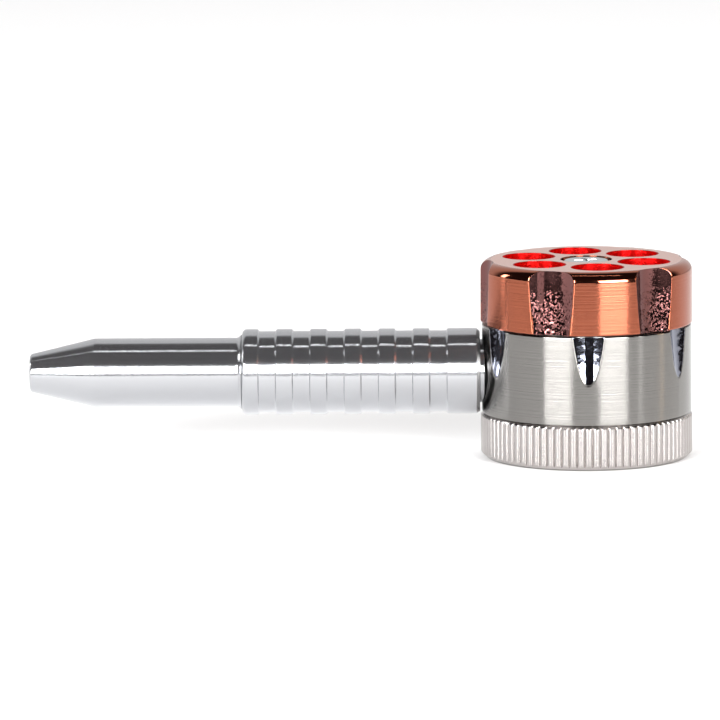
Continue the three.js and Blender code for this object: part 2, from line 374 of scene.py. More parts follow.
def soften(outline, steps=5):
    """An outline with its corners rounded, where a point's third number is its round."""
    count = len(outline)
    points = []
    for i, (r, z, *rounding) in enumerate(outline):
        corner = Vector((r, z))
        if not rounding or rounding[0] == 0:
            points.append(corner)
            continue
        before = (Vector(outline[i - 1][:2]) - corner).normalized()
        after = (Vector(outline[(i + 1) % count][:2]) - corner).normalized()
        half = before.angle(after) / 2
        centre = corner + (before + after).normalized() * (rounding[0] / math.sin(half))
        start = corner + before * (rounding[0] / math.tan(half)) - centre
        end = corner + after * (rounding[0] / math.tan(half)) - centre
        points += [centre + start.slerp(end, k / steps).normalized() * rounding[0] for k in range(steps + 1)]
    return points


def lathe(outline, columns, steps=5):
    """A mesh turned about Z from an outline of (radius, height, round) that closes on itself or the axis."""
    shape = bmesh.new()
    turns = [i * math.tau / columns for i in range(columns)]
    rings = []
    for r, z in soften(outline, steps):
        if r < 1e-6:
            rings.append([shape.verts.new((0, 0, z))] * columns)
        else:
            rings.append([shape.verts.new((r * math.cos(a), r * math.sin(a), z)) for a in turns])
    for lower, upper in zip(rings, rings[1:] + rings[:1]):
        for i in range(columns):
            j = (i + 1) % columns
            corners = list(dict.fromkeys([lower[i], lower[j], upper[j], upper[i]]))
            if len(corners) > 2:
                shape.faces.new(corners)
    return shape


def loft(rings):
    """A closed mesh through rings of equally many points, with flat ends."""
    shape = bmesh.new()
    levels = [[shape.verts.new(point) for point in ring] for ring in rings]
    for lower, upper in zip(levels, levels[1:]):
        for i in range(len(lower)):
            j = (i + 1) % len(lower)
            shape.faces.new((lower[i], lower[j], upper[j], upper[i]))
    shape.faces.new(levels[0])
    shape.faces.new(levels[-1])
    return shape


def stand(shape, name, place=None):
    """Turns a mesh under construction into an object, still in millimetres."""
    bmesh.ops.recalc_face_normals(shape, faces=shape.faces)
    mesh = bpy.data.meshes.new(name)
    shape.to_mesh(mesh)
    shape.free()
    if place:
        mesh.transform(place)
    obj = bpy.data.objects.new(name, mesh)
    bpy.context.scene.collection.objects.link(obj)
    return obj


def settle(obj):
    """Makes an object's modifiers part of its mesh."""
    bpy.context.view_layer.update()
    graph = bpy.context.evaluated_depsgraph_get()
    mesh = bpy.data.meshes.new_from_object(obj.evaluated_get(graph))
    obj.modifiers.clear()
    obj.data = mesh


def shape_by(obj, tree, **inputs):
    """Runs a geometry tree on an object and keeps the result as a plain mesh."""
    modifier = obj.modifiers.new(tree.name, "NODES")
    modifier.node_group = tree
    for item in tree.interface.items_tree:
        key = item.name.replace(" ", "_").lower()
        if item.in_out == "INPUT" and key in inputs:
            modifier[item.identifier] = inputs[key]
    settle(obj)


def combine(obj, tool, operation="DIFFERENCE"):
    """Cuts one object with another, or joins them, and removes the tool."""
    modifier = obj.modifiers.new("combine", "BOOLEAN")
    modifier.operation = operation
    modifier.solver = "MANIFOLD"
    modifier.object = tool
    settle(obj)
    bpy.data.objects.remove(tool)


def complete(obj, body, nodes, materials, rule=None):
    """Shades a piece, gives its faces their materials, takes it to metres and sets it on its body."""
    mesh = obj.data
    mesh.materials.clear()
    for material in materials:
        mesh.materials.append(material)
    for face in mesh.polygons:
        face.material_index = rule(face.center, face.normal) if rule else 0
    mesh.shade_smooth()
    mesh.set_sharp_from_angle(angle=math.radians(35))
    weighted = obj.modifiers.new("weighted", "WEIGHTED_NORMAL")
    weighted.keep_sharp = True
    settle(obj)
    obj.data.transform(Matrix.Scale(MM, 4))
    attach(obj, body)
    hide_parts(*nodes)


# ---- Geometry trees ----


def geometry_tree(name, inputs):
    """An empty geometry tree with named inputs, and its group input and output nodes."""
    tree = bpy.data.node_groups.new(name, "GeometryNodeTree")
    tree.interface.new_socket("Geometry", in_out="INPUT", socket_type="NodeSocketGeometry")
    for label, kind in inputs.items():
        tree.interface.new_socket(label, in_out="INPUT", socket_type=kind)
    tree.interface.new_socket("Geometry", in_out="OUTPUT", socket_type="NodeSocketGeometry")
    return tree, add(tree, "NodeGroupInput"), add(tree, "NodeGroupOutput")


FLOAT = "NodeSocketFloat"
INTEGER = "NodeSocketInt"
MATERIAL = "NodeSocketMaterial"


def end_tree(tree, result, given, out):
    """Ends a tree in Realize Instances and Set Material."""
    real = add(tree, "GeometryNodeRealizeInstances", {0: result})
    faced = add(tree, "GeometryNodeSetMaterial", {"Geometry": real, "Material": given.outputs["Material"]})
    tree.links.new(faced.outputs[0], out.inputs[0])
    return tree


def polar(tree):
    """Where a point is round the Z axis: its place on the level, its height, radius and share of a turn."""
    place = add(tree, "GeometryNodeInputPosition")
    parts = add(tree, "ShaderNodeSeparateXYZ", {0: place})
    flat = add(tree, VECTOR, {0: place, 1: (1, 1, 0)}, operation="MULTIPLY")
    radius = add(tree, VECTOR, {0: flat}, operation="LENGTH").outputs["Value"]
    angle = add(tree, MATH, {0: parts.outputs["Y"], 1: parts.outputs["X"]}, operation="ARCTAN2")
    share = add(tree, MATH, {0: angle, 1: math.tau}, operation="DIVIDE")
    return flat, parts.outputs["Z"], radius, share


def thread_tree():
    """Cuts a right-hand V thread into a round surface of a given radius, fading out at both ends."""
    tree, given, out = geometry_tree(
        "thread",
        {"Radius": FLOAT, "Depth": FLOAT, "Pitch": FLOAT, "Low": FLOAT, "High": FLOAT, "Material": MATERIAL},
    )
    flat, height, radius, share = polar(tree)
    turns = add(tree, MATH, {0: height, 1: given.outputs["Pitch"]}, operation="DIVIDE")
    phase = add(tree, MATH, {0: turns, 1: share}, operation="SUBTRACT")
    wave = add(tree, MATH, {0: phase, 1: 0.5}, operation="PINGPONG")
    deep = add(tree, MATH, {0: wave, 1: 2.0}, operation="MULTIPLY")
    half = add(tree, MATH, {0: given.outputs["Pitch"], 1: 0.5}, operation="MULTIPLY")
    after_low = add(tree, MATH, {0: given.outputs["Low"], 1: half}, operation="ADD")
    before_high = add(tree, MATH, {0: given.outputs["High"], 1: half}, operation="SUBTRACT")
    rise = add(tree, "ShaderNodeMapRange",
               {"Value": height, "From Min": given.outputs["Low"], "From Max": after_low},
               interpolation_type="SMOOTHSTEP")
    fall = add(tree, "ShaderNodeMapRange",
               {"Value": height, "From Min": given.outputs["High"], "From Max": before_high},
               interpolation_type="SMOOTHSTEP")
    fade = add(tree, MATH, {0: rise, 1: fall}, operation="MULTIPLY")
    full = add(tree, MATH, {0: deep, 1: given.outputs["Depth"]}, operation="MULTIPLY")
    cut = add(tree, MATH, {0: full, 1: fade}, operation="MULTIPLY")
    there = add(tree, MATH, {0: radius, 1: given.outputs["Radius"], 2: 0.02}, operation="COMPARE")
    outward = add(tree, VECTOR, {0: flat}, operation="NORMALIZE")
    inward = add(tree, MATH, {0: cut, 1: -1.0}, operation="MULTIPLY")
    offset = add(tree, VECTOR, {0: outward, "Scale": inward}, operation="SCALE")
    moved = add(tree, "GeometryNodeSetPosition",
                {"Geometry": given, "Selection": there, "Offset": offset})
    return end_tree(tree, moved, given, out)


def knurl_tree():
    """Presses straight ridges into everything that stands outside the knurl's valleys."""
    tree, given, out = geometry_tree(
        "knurl", {"Radius": FLOAT, "Depth": FLOAT, "Ridges": INTEGER, "Material": MATERIAL}
    )
    flat, _, radius, share = polar(tree)
    count = add(tree, MATH, {0: share, 1: given.outputs["Ridges"]}, operation="MULTIPLY")
    from_crest = add(tree, MATH, {0: count, 1: 0.5}, operation="PINGPONG")
    sine = add(tree, MATH, {0: from_crest, 1: 2 * RIDGE_SWEEP}, operation="MULTIPLY")
    square = add(tree, MATH, {0: sine, 1: sine}, operation="MULTIPLY")
    rest = add(tree, MATH, {0: 1.0, 1: square}, operation="SUBTRACT")
    cosine = add(tree, MATH, {0: rest}, operation="SQRT")
    fall = add(tree, MATH, {0: 1.0, 1: cosine}, operation="SUBTRACT")
    deepest = 1 - math.sqrt(1 - RIDGE_SWEEP**2)
    valley = add(tree, MATH, {0: fall, 1: deepest}, operation="DIVIDE")
    cut = add(tree, MATH, {0: valley, 1: given.outputs["Depth"]}, operation="MULTIPLY")
    surface = add(tree, MATH, {0: given.outputs["Radius"], 1: cut}, operation="SUBTRACT")
    ratio = add(tree, MATH, {0: surface, 1: radius}, operation="DIVIDE")
    limited = add(tree, MATH, {0: ratio, 1: 1.0}, operation="MINIMUM")
    less = add(tree, MATH, {0: limited, 1: 1.0}, operation="SUBTRACT")
    offset = add(tree, VECTOR, {0: flat, "Scale": less}, operation="SCALE")
    rim = add(tree, MATH, {0: given.outputs["Radius"], 1: given.outputs["Depth"]}, operation="SUBTRACT")
    outside = add(tree, MATH, {0: radius, 1: rim}, operation="GREATER_THAN")
    moved = add(tree, "GeometryNodeSetPosition",
                {"Geometry": given, "Selection": outside, "Offset": offset})
    return end_tree(tree, moved, given, out)


def ring_tree():
    """Copies a shape evenly round the Z axis, out at a radius, the first at a start angle."""
    tree, given, out = geometry_tree(
        "ring", {"Count": INTEGER, "Radius": FLOAT, "Start": FLOAT, "Material": MATERIAL}
    )
    points = add(tree, "GeometryNodePoints", {"Count": given.outputs["Count"]})
    index = add(tree, "GeometryNodeInputIndex")
    step = add(tree, MATH, {0: math.tau, 1: given.outputs["Count"]}, operation="DIVIDE")
    along = add(tree, MATH, {0: index, 1: step, 2: given.outputs["Start"]}, operation="MULTIPLY_ADD")
    turn = add(tree, "ShaderNodeCombineXYZ", {"Z": along})
    arm = add(tree, "ShaderNodeCombineXYZ", {"X": given.outputs["Radius"]})
    place = add(tree, "ShaderNodeVectorRotate", {"Vector": arm, "Angle": along}, rotation_type="Z_AXIS")
    spread = add(tree, "GeometryNodeSetPosition", {"Geometry": points, "Position": place})
    copies = add(tree, "GeometryNodeInstanceOnPoints",
                 {"Points": spread, "Instance": given.outputs["Geometry"], "Rotation": turn})
    return end_tree(tree, copies, given, out)


def coil_tree():
    """A round wire wound into a coil, its bottom at the origin."""
    tree, given, out = geometry_tree(
        "coil",
        {"Radius": FLOAT, "Wire Radius": FLOAT, "Turns": FLOAT, "Height": FLOAT, "Material": MATERIAL},
    )
    radius = given.outputs["Radius"]
    helix = add(tree, "GeometryNodeCurveSpiral",
                {"Resolution": 40, "Rotations": given.outputs["Turns"], "Start Radius": radius,
                 "End Radius": radius, "Height": given.outputs["Height"]})
    wire = add(tree, "GeometryNodeCurvePrimitiveCircle",
               {"Resolution": 12, "Radius": given.outputs["Wire Radius"]})
    sweep = {"Curve": helix, "Profile Curve": wire, "Fill Caps": True}
    swept = add(tree, "GeometryNodeCurveToMesh", sweep)
    return end_tree(tree, swept, given, out)


def weave_tree():
    """A round piece of plain-woven wire cloth: warp and weft pass over and under by turns."""
    tree, given, out = geometry_tree(
        "weave",
        {"Radius": FLOAT, "Pitch": FLOAT, "Wires": INTEGER, "Wire Radius": FLOAT, "Material": MATERIAL},
    )
    less = add(tree, MATH, {0: given.outputs["Wires"], 1: 1.0}, operation="SUBTRACT")
    side = add(tree, MATH, {0: less, 1: given.outputs["Pitch"]}, operation="MULTIPLY")
    grid = add(tree, "GeometryNodeMeshGrid",
               {"Size X": side, "Size Y": side, "Vertices X": given.outputs["Wires"],
                "Vertices Y": given.outputs["Wires"]})
    place = add(tree, "GeometryNodeInputPosition")
    far = add(tree, VECTOR, {0: place}, operation="LENGTH").outputs["Value"]
    outside = add(tree, MATH, {0: far, 1: given.outputs["Radius"]}, operation="GREATER_THAN")
    disc = add(tree, "GeometryNodeDeleteGeometry", {"Geometry": grid, "Selection": outside}, domain="POINT")
    ends = add(tree, "GeometryNodeInputMeshEdgeVertices")
    gap = add(tree, VECTOR, {0: ends.outputs["Position 1"], 1: ends.outputs["Position 2"]},
              operation="SUBTRACT")
    lengths = add(tree, VECTOR, {0: gap}, operation="ABSOLUTE")
    parts = add(tree, "ShaderNodeSeparateXYZ", {0: lengths})
    steps = add(tree, "ShaderNodeSeparateXYZ", {0: place})
    total = add(tree, MATH, {0: steps.outputs["X"], 1: steps.outputs["Y"]}, operation="ADD")
    ordinal = add(tree, MATH, {0: total, 1: given.outputs["Pitch"]}, operation="DIVIDE")
    shifted = add(tree, MATH, {0: ordinal, 1: 0.5}, operation="ADD")
    whole = add(tree, MATH, {0: shifted}, operation="FLOOR")
    parity = add(tree, MATH, {0: whole, 1: 1.0}, operation="PINGPONG")
    sign = add(tree, MATH, {0: parity, 1: 2.0, 2: -1.0}, operation="MULTIPLY_ADD")
    wire = add(tree, "GeometryNodeCurvePrimitiveCircle",
               {"Resolution": 6, "Radius": given.outputs["Wire Radius"]})
    sheets = []
    for unwanted, direction in (("X", 1.0), ("Y", -1.0)):
        crosses = add(tree, MATH, {0: parts.outputs[unwanted], 1: 1e-3}, operation="GREATER_THAN")
        strands = add(tree, "GeometryNodeDeleteGeometry", {"Geometry": disc, "Selection": crosses},
                      domain="EDGE", mode="EDGE_FACE")
        curves = add(tree, "GeometryNodeMeshToCurve", {"Mesh": strands})
        lift = add(tree, MATH, {0: sign, 1: given.outputs["Wire Radius"]}, operation="MULTIPLY")
        swing = add(tree, MATH, {0: lift, 1: direction}, operation="MULTIPLY")
        rise = add(tree, "ShaderNodeCombineXYZ", {"Z": swing})
        woven = add(tree, "GeometryNodeSetPosition", {"Geometry": curves, "Offset": rise})
        smooth = add(tree, "GeometryNodeCurveSplineType", {"Curve": woven}, spline_type="CATMULL_ROM")
        fine = add(tree, "GeometryNodeSetSplineResolution", {"Geometry": smooth, "Resolution": 4})
        sheets.append(add(tree, "GeometryNodeCurveToMesh",
                          {"Curve": fine, "Profile Curve": wire, "Fill Caps": True}))
    joined = add(tree, "GeometryNodeJoinGeometry", {0: sheets[0]})
    tree.links.new(sheets[1].outputs[0], joined.inputs[0])
    return end_tree(tree, joined, given, out)


THREAD = thread_tree()
KNURL = knurl_tree()
RING = ring_tree()
COIL = coil_tree()
WEAVE = weave_tree()


def rows(low, high, pitch):
    """Heights between two levels, close enough together to carry a thread."""
    per_turn = 8
    count = max(2, round((high - low) / pitch * per_turn))
    return [low + (high - low) * i / count for i in range(count + 1)]


# ---- The fluted drum ----


def flute_floor(z):
    """A flute's distance from the drum's axis at the middle of its floor."""
    up = z - FLUTE_RUNOUT
    return body_r - FLUTE_RISE * up + FLUTE_EASE * up**2


def flute_half_angle(radius, z, flute_r):
    """How far round its own centre a flute's floor reaches before it comes out of the drum."""
    centre = flute_floor(z) + flute_r
    turn = (centre**2 + flute_r**2 - radius**2) / (2 * centre * flute_r)
    return math.acos(turn) if turn < 1 else 0.0


def fluted_level(radius, z, first_flute, flute_r, skin):
    """A level of the drum: six flutes with rounded edges, cast skin on their floors, and lands between."""
    flute_steps, edge_steps, land_steps = 16, 3, 14
    least = 0.12  # half-width that stands in for a flute below its run-out
    reach = flute_half_angle(radius, z, flute_r)
    width = flute_r * math.sin(reach)
    shown = width > least
    half = width if shown else least
    edge = min(0.22, 0.35 * width) if shown else 0.05
    centre = flute_floor(z) + flute_r
    side = math.asin(half / radius)
    start = side + edge / radius
    calm = min(1.0, max(0.1, (top_z - 2 - z) / 7))  # the skin is smoother toward the top

    def on_drum(angle):
        return Vector((radius * math.cos(angle), radius * math.sin(angle), z))

    def on_floor(share):
        if not shown:
            return on_drum(share * side * 0.7)
        t = share * (reach - edge / flute_r)
        place = turn @ Vector((centre - flute_r * math.cos(t), flute_r * math.sin(t), z))
        lump = skin * calm * (1 - share**4) * noise.fractal(place * 1.3, 1.0, 2.0, 3)
        return Vector((centre - (flute_r + lump) * math.cos(t), (flute_r + lump) * math.sin(t), z))

    ring = []
    for k in range(CHAMBERS):
        turn = Matrix.Rotation(first_flute + k * math.tau / CHAMBERS, 3, "Z")
        floor = [on_floor(i / flute_steps) for i in range(-flute_steps, flute_steps + 1)]
        stop = math.tau / CHAMBERS - start
        land = [on_drum(start + (stop - start) * i / land_steps) for i in range(land_steps + 1)]
        into = bend(on_drum(-start), on_drum(-side), floor[0], edge_steps)
        out_of = bend(floor[-1], on_drum(side), land[0], edge_steps)
        ring += [turn @ point for point in into + floor + out_of + land]
    return ring


def bend(start, corner, end, steps):
    """Points between two others, round a corner, without the ends."""
    shares = [i / (steps + 1) for i in range(1, steps + 1)]
    return [(1 - s) ** 2 * start + 2 * s * (1 - s) * corner + s**2 * end for s in shares]


def arc(centre_r, centre_z, size, start, end, steps):
    """Points of (radius, height) along an arc, angles in degrees from straight out."""
    angles = [math.radians(start + (end - start) * i / steps) for i in range(steps + 1)]
    return [(centre_r + size * math.cos(a), centre_z + size * math.sin(a)) for a in angles]


def rimmed_tool(radius, low, top, rim=0.15, columns=72, below=()):
    """A cutter for a round hole whose mouth at `top` is left with a small round."""
    mouth = [
        (radius + rim - rim * math.cos(math.radians(a)), top - rim + rim * math.sin(math.radians(a)))
        for a in (0, 22.5, 45, 67.5, 90)
    ]
    outline = [*below, (radius, low), *mouth, (radius + rim, top + 1), (0, top + 1)]
    return stand(lathe(outline, columns), "tool")


def fluted_bowl(copper, polished, faced, cast, lacquer):
    low = bowl_low.z
    edge = 0.3
    side = [
        *arc(drum_r - edge, low + edge, edge, -90, 0, 4),
        *[(drum_r, low + edge + (top_z - SHOULDER - low - edge) * i / 44) for i in range(1, 44)],
        *arc(drum_r - SHOULDER, top_z - SHOULDER, SHOULDER, 0, 90, 14),
    ]
    first = bowl_turn + math.pi / CHAMBERS
    bowl = stand(loft([fluted_level(r, z, first, BOWL_FLUTE_R, 0.03) for r, z in side]), "fluted_bowl")
    draw_hole = [(0, low - 1), (1.9, low - 1), (1.9, chamber_floor - 1)]
    chambers = rimmed_tool(CHAMBER_R, chamber_floor, top_z, 0.12, 72, draw_hole)
    shape_by(chambers, RING, material=lacquer, count=CHAMBERS, radius=chamber_circle_r, start=bowl_turn)
    combine(bowl, chambers)
    pivot = [(0, low - 1), (SCREW_R + 0.35, low - 1), (SCREW_R + 0.35, top_z - COUNTERBORE_DEPTH)]
    combine(bowl, rimmed_tool(COUNTERBORE_R, top_z - COUNTERBORE_DEPTH, top_z, 0.12, 72, pivot))

    turned, buffed, flat_cut, cast_skin_painted_shade, painted = range(5)
    floor_edge = 8.0  # a flute's floor stays further out than this from the counterbore
    skin = 0.12  # a flute's floor lies at least this far inside the turned side

    def rule(centre, normal):
        flat_r = math.hypot(centre.x, centre.y)
        angle = math.atan2(centre.y, centre.x) - bowl_turn
        step = math.tau / CHAMBERS
        nearest = bowl_turn + round(angle / step) * step
        chamber = Vector((chamber_circle_r * math.cos(nearest), chamber_circle_r * math.sin(nearest)))
        inside = math.hypot(centre.x - chamber.x, centre.y - chamber.y) < CHAMBER_R + 0.03
        if inside and chamber_floor - 1.1 < centre.z < top_z - 0.02:
            return painted
        if normal.z > 0.999 and centre.z > top_z - 0.01:
            return flat_cut
        outer = drum_r if centre.z < top_z - SHOULDER else (
            drum_r - SHOULDER + math.sqrt(max(0, SHOULDER**2 - (centre.z - top_z + SHOULDER) ** 2))
        )
        # Flute floors: the lumps are real cast skin, and their darker copper is painted shade.
        if COUNTERBORE_R + floor_edge < flat_r < outer - skin:
            return cast_skin_painted_shade
        return buffed if centre.z > top_z - SHOULDER else turned

    finishes = [copper, polished, faced, cast, lacquer]  # in the order of the names above
    complete(bowl, "bowl", ["revolving_bowl"], finishes, rule)


def drum_shell(nickel, cast):
    low, high = body_low.z, body_high.z
    edge = 0.25
    runout = [FLUTE_RUNOUT - 0.15 + (high - edge - FLUTE_RUNOUT + 0.15) * (i / 40) ** 2 for i in range(40)]
    side = [
        *arc(body_r - edge, low + edge, edge, -90, 0, 4),
        *[(body_r, low + edge + (FLUTE_RUNOUT - 0.3 - low - edge) * i / 6) for i in range(1, 7)],
        *[(body_r, z) for z in runout],
        *arc(body_r - edge, high - edge, edge, 0, 90, 4),
    ]
    first = math.pi / CHAMBERS
    shell = stand(loft([fluted_level(r, z, first, BODY_FLUTE_R, 0.006) for r, z in side]), "drum_shell")
    thread_r = BASE_SPIGOT_R + THREAD_ROOM
    thread_top = base_high.z + 0.3
    wall_r = 15.5
    hollow = stand(
        lathe(
            [
                (0, low - 1),
                (thread_r + 0.3, low - 1),
                (thread_r + 0.3, low),
                *[(thread_r, z) for z in rows(low + 0.3, thread_top, THREAD_PITCH)],
                (wall_r, thread_top),
                (wall_r, DECK_UNDER, 1.0),
                (0, DECK_UNDER),
            ],
            144,
        ),
        "hollow",
    )
    shape_by(
        hollow, THREAD, material=nickel, **base_thread, radius=thread_r, low=low + 0.3, high=thread_top
    )
    combine(shell, hollow)
    boss = lathe([(0, 12.4), (5, 12.4, 0.3), (5, 17), (0, 17)], 64)
    combine(shell, stand(boss, "boss", LAID), "UNION")
    combine(shell, rimmed_tool(SCREW_R + 0.15, DECK_UNDER - 1, high + 1, 0.1, 48, [(0, DECK_UNDER - 1)]))
    seat_r = 17.6
    combine(shell, rimmed_tool(seat_r, SEAT, high, 0.1, 160, [(0, SEAT)]))
    port = rimmed_tool(PORT_R, DECK_UNDER - 1, SEAT, 0.15, 48, [(0, DECK_UNDER - 1)])
    port.data.transform(Matrix.Translation((chamber_circle_r, 0, 0)))
    combine(shell, port)
    bore_r = SPIGOT_R + THREAD_ROOM
    socket = stand(
        lathe(
            [
                (0, 11),
                (bore_r, 11),
                *[(bore_r, x) for x in rows(12.0, 18.2, THREAD_PITCH)],
                (6.4, 18.2, 0.2),
                (6.4, 22),
                (0, 22),
            ],
            96,
        ),
        "socket",
    )
    shape_by(socket, THREAD, material=nickel, **stem_thread, radius=bore_r, low=12.0, high=18.2)
    socket.data.transform(LAID)
    combine(shell, socket)

    def rule(centre, normal):
        flat_r = math.hypot(centre.x, centre.y)
        in_pocket = math.hypot(centre.y, centre.z - stem_z) < 6.5 and centre.x < -15
        on_side = flat_r > 18.0 and FLUTE_RUNOUT < centre.z < high - 0.1 and not in_pocket
        return 1 if on_side and flat_r < body_r - 0.06 else 0

    complete(shell, "body", ["drum_body"], [nickel, cast], rule)


def knurled_base(nickel, knurled):
    top = body_low.z - 0.1
    spigot_top = base_high.z
    floor = 2.4
    cup_r = 14.6
    base = stand(
        lathe(
            [
                (0, 0),
                (drum_r - 1.0, 0, 0.15),
                *[(drum_r - 1.0 + i / 6, i / 6) for i in range(1, 7)],
                *[(drum_r, 1 + (top - 1.6) * i / 6) for i in range(1, 6)],
                *[(drum_r - 0.6 * i / 4, top - 0.6 + 0.6 * i / 4) for i in range(5)],
                (18.2, top),
                (18.2, top - 0.9, 0.1),
                (17, top - 0.9, 0.1),
                (17, top),
                (BASE_SPIGOT_R, top),
                *[(BASE_SPIGOT_R, z) for z in rows(top + 0.1, spigot_top - 0.3, THREAD_PITCH)],
                (BASE_SPIGOT_R - 0.35, spigot_top),
                (cup_r, spigot_top, 0.1),
                (cup_r, floor, 1.5),
                (0, floor),
            ],
            RIDGES * 12,
        ),
        "knurled_base",
    )
    threaded = {"radius": BASE_SPIGOT_R, "low": top + 0.1, "high": spigot_top - 0.3}
    shape_by(base, THREAD, material=nickel, **base_thread, **threaded)
    shape_by(base, KNURL, material=knurled, radius=drum_r, depth=KNURL_DEPTH, ridges=RIDGES)

    def rule(centre, normal):
        return 1 if math.hypot(centre.x, centre.y) > drum_r - 0.9 and 0.3 < centre.z < top else 0

    complete(base, "base", ["base_cap"], [nickel, knurled], rule)


# ---- The stem ----


def ribbed_grip(aluminium):
    back = 20.15
    front = barrel_front
    groove_r = barrel_r - GROOVE_DEPTH
    outline = [(6, back, 0.15), (barrel_r - 0.5, back), (barrel_r, back + 0.6, 0.3)]
    for i in range(GROOVES, 0, -1):
        near = front - i * BAND_PITCH
        far = near + BAND_PITCH - BAND
        outline += [(barrel_r, near - 0.1, 0.3), (groove_r, near + 0.15, 0.3)]
        outline += [(groove_r, far - 0.15, 0.3), (barrel_r, far + 0.1, 0.3)]
    bore_end = front - 7.6
    socket_r = SPIGOT_R + THREAD_ROOM
    grip = stand(
        lathe(
            [
                (STEM_BORE_R, 12.6, 0.15),
                (SPIGOT_R - 0.35, 12.6),
                *[(SPIGOT_R, x) for x in rows(12.95, 18.2, THREAD_PITCH)],
                (SPIGOT_R, 19.2),
                (6, 19.2, 0.2),
                *outline,
                (barrel_r, front, 0.9),
                (SPIGOT_R + 0.85, front, 0.15),
                (SPIGOT_R + 0.85, front - 1.6),
                *[(socket_r, x) for x in reversed(rows(bore_end, front - 1.7, THREAD_PITCH))],
                (STEM_BORE_R, bore_end),
            ],
            128,
        ),
        "ribbed_grip",
    )
    shape_by(grip, THREAD, material=aluminium, **stem_thread, radius=SPIGOT_R, low=12.95, high=18.2)
    shape_by(
        grip, THREAD, material=aluminium, **stem_thread, radius=socket_r, low=bore_end, high=front - 1.7
    )
    grip.data.transform(LAID)
    complete(grip, "barrel", ["grip_barrel"], [aluminium])


def tapered_mouthpiece(aluminium):
    tube_r = 6.5
    lip_r = 3.5
    taper = 12.3
    joint = barrel_front + 0.05
    mouthpiece = stand(
        lathe(
            [
                (2.5, joint - 7, 0.1),
                (SPIGOT_R - 0.35, joint - 7),
                *[(SPIGOT_R, x) for x in rows(joint - 6.65, joint - 1.6, THREAD_PITCH)],
                (SPIGOT_R - 0.3, joint - 1.3),
                (SPIGOT_R - 0.3, joint),
                (tube_r + 0.7, joint, 0.1),
                (tube_r, joint + 0.75, 0.7),
                (tube_r, stem_end - taper, 0.6),
                (lip_r + 0.05, stem_end, 0.7),
                (1.6, stem_end, 0.25),
                (1.6, stem_end - taper),
                (2.5, stem_end - taper - 3),
            ],
            128,
            8,
        ),
        "tapered_mouthpiece",
    )
    threaded = {"radius": SPIGOT_R, "low": joint - 6.65, "high": joint - 1.6}
    shape_by(mouthpiece, THREAD, material=aluminium, **stem_thread, **threaded)
    mouthpiece.data.transform(LAID)
    complete(mouthpiece, "mouthpiece", ["mouthpiece"], [aluminium])


# ---- The pivot and its fittings ----


def cross_screw(steel):
    screw_low, screw_high = span("pivot_screw")
    low, high, head_r = screw_low.z, screw_high.z, screw_high.x
    under = span("head_washer")[1].z + 0.05
    screw = stand(
        lathe(
            [
                (0, low),
                (SCREW_R - 0.4, low),
                *[(SCREW_R, z) for z in rows(low + 0.4, under - 0.6, SCREW_PITCH)],
                (SCREW_R, under, 0.15),
                (head_r, under, 0.12),
                (head_r, high - 0.45, 0.3),
                (head_r - 0.4, high, 0.4),
                (0, high),
            ],
            64,
        ),
        "cross_screw",
    )
    shape_by(screw, THREAD, material=steel, **screw_thread, radius=SCREW_R, low=low + 0.4, high=under - 0.6)
    recess_length, recess_width, recess_depth = 4.6, 1.0, 1.9
    recess_turn = 0.3
    for turn in (0, math.pi / 2):
        arm = bmesh.new()
        bmesh.ops.create_cube(arm, size=1)
        for corner in arm.verts:
            upper = corner.co.z > 0
            share = 1.0 if upper else 0.45  # the recess narrows downward
            corner.co.x *= recess_length * share
            corner.co.y *= recess_width * share
            corner.co.z = high + 0.2 if upper else high - recess_depth
        combine(screw, stand(arm, "arm", Matrix.Rotation(turn + recess_turn, 4, "Z")))
    complete(screw, "body", ["pivot_screw"], [steel])


def washer(name, node, steel):
    low, high = span(node)
    outer = high.x
    inner = SCREW_R + 0.2
    ring = [(inner, low.z, 0.08), (outer, low.z, 0.15), (outer, high.z, 0.15), (inner, high.z, 0.08)]
    complete(stand(lathe(ring, 72), name), "body", [node], [steel])


def slip_gasket(ptfe):
    inner, outer = SCREW_R + 0.4, 17.4
    low, high = gasket_low.z, gasket_high.z
    ring = [(inner, low, 0.05), (outer, low, 0.1), (outer, high, 0.1), (inner, high, 0.05)]
    gasket = stand(lathe(ring, 128), "slip_gasket")
    port = rimmed_tool(PORT_R, low - 1, high, 0.05, 48, [(0, low - 1)])
    port.data.transform(Matrix.Translation((chamber_circle_r, 0, 0)))
    combine(gasket, port)
    complete(gasket, "body", ["deck_gasket"], [ptfe])


def coil_spring(steel):
    low, high = span("tension_spring")
    wire = 0.4
    turns = 4.0
    spring = stand(bmesh.new(), "coil_spring")
    height = high.z - low.z - 2 * wire
    shape_by(spring, COIL, material=steel, radius=3.2, wire_radius=wire, turns=turns, height=height)
    spring.data.transform(Matrix.Translation((0, 0, low.z + wire)))
    complete(spring, "body", ["tension_spring"], [steel])


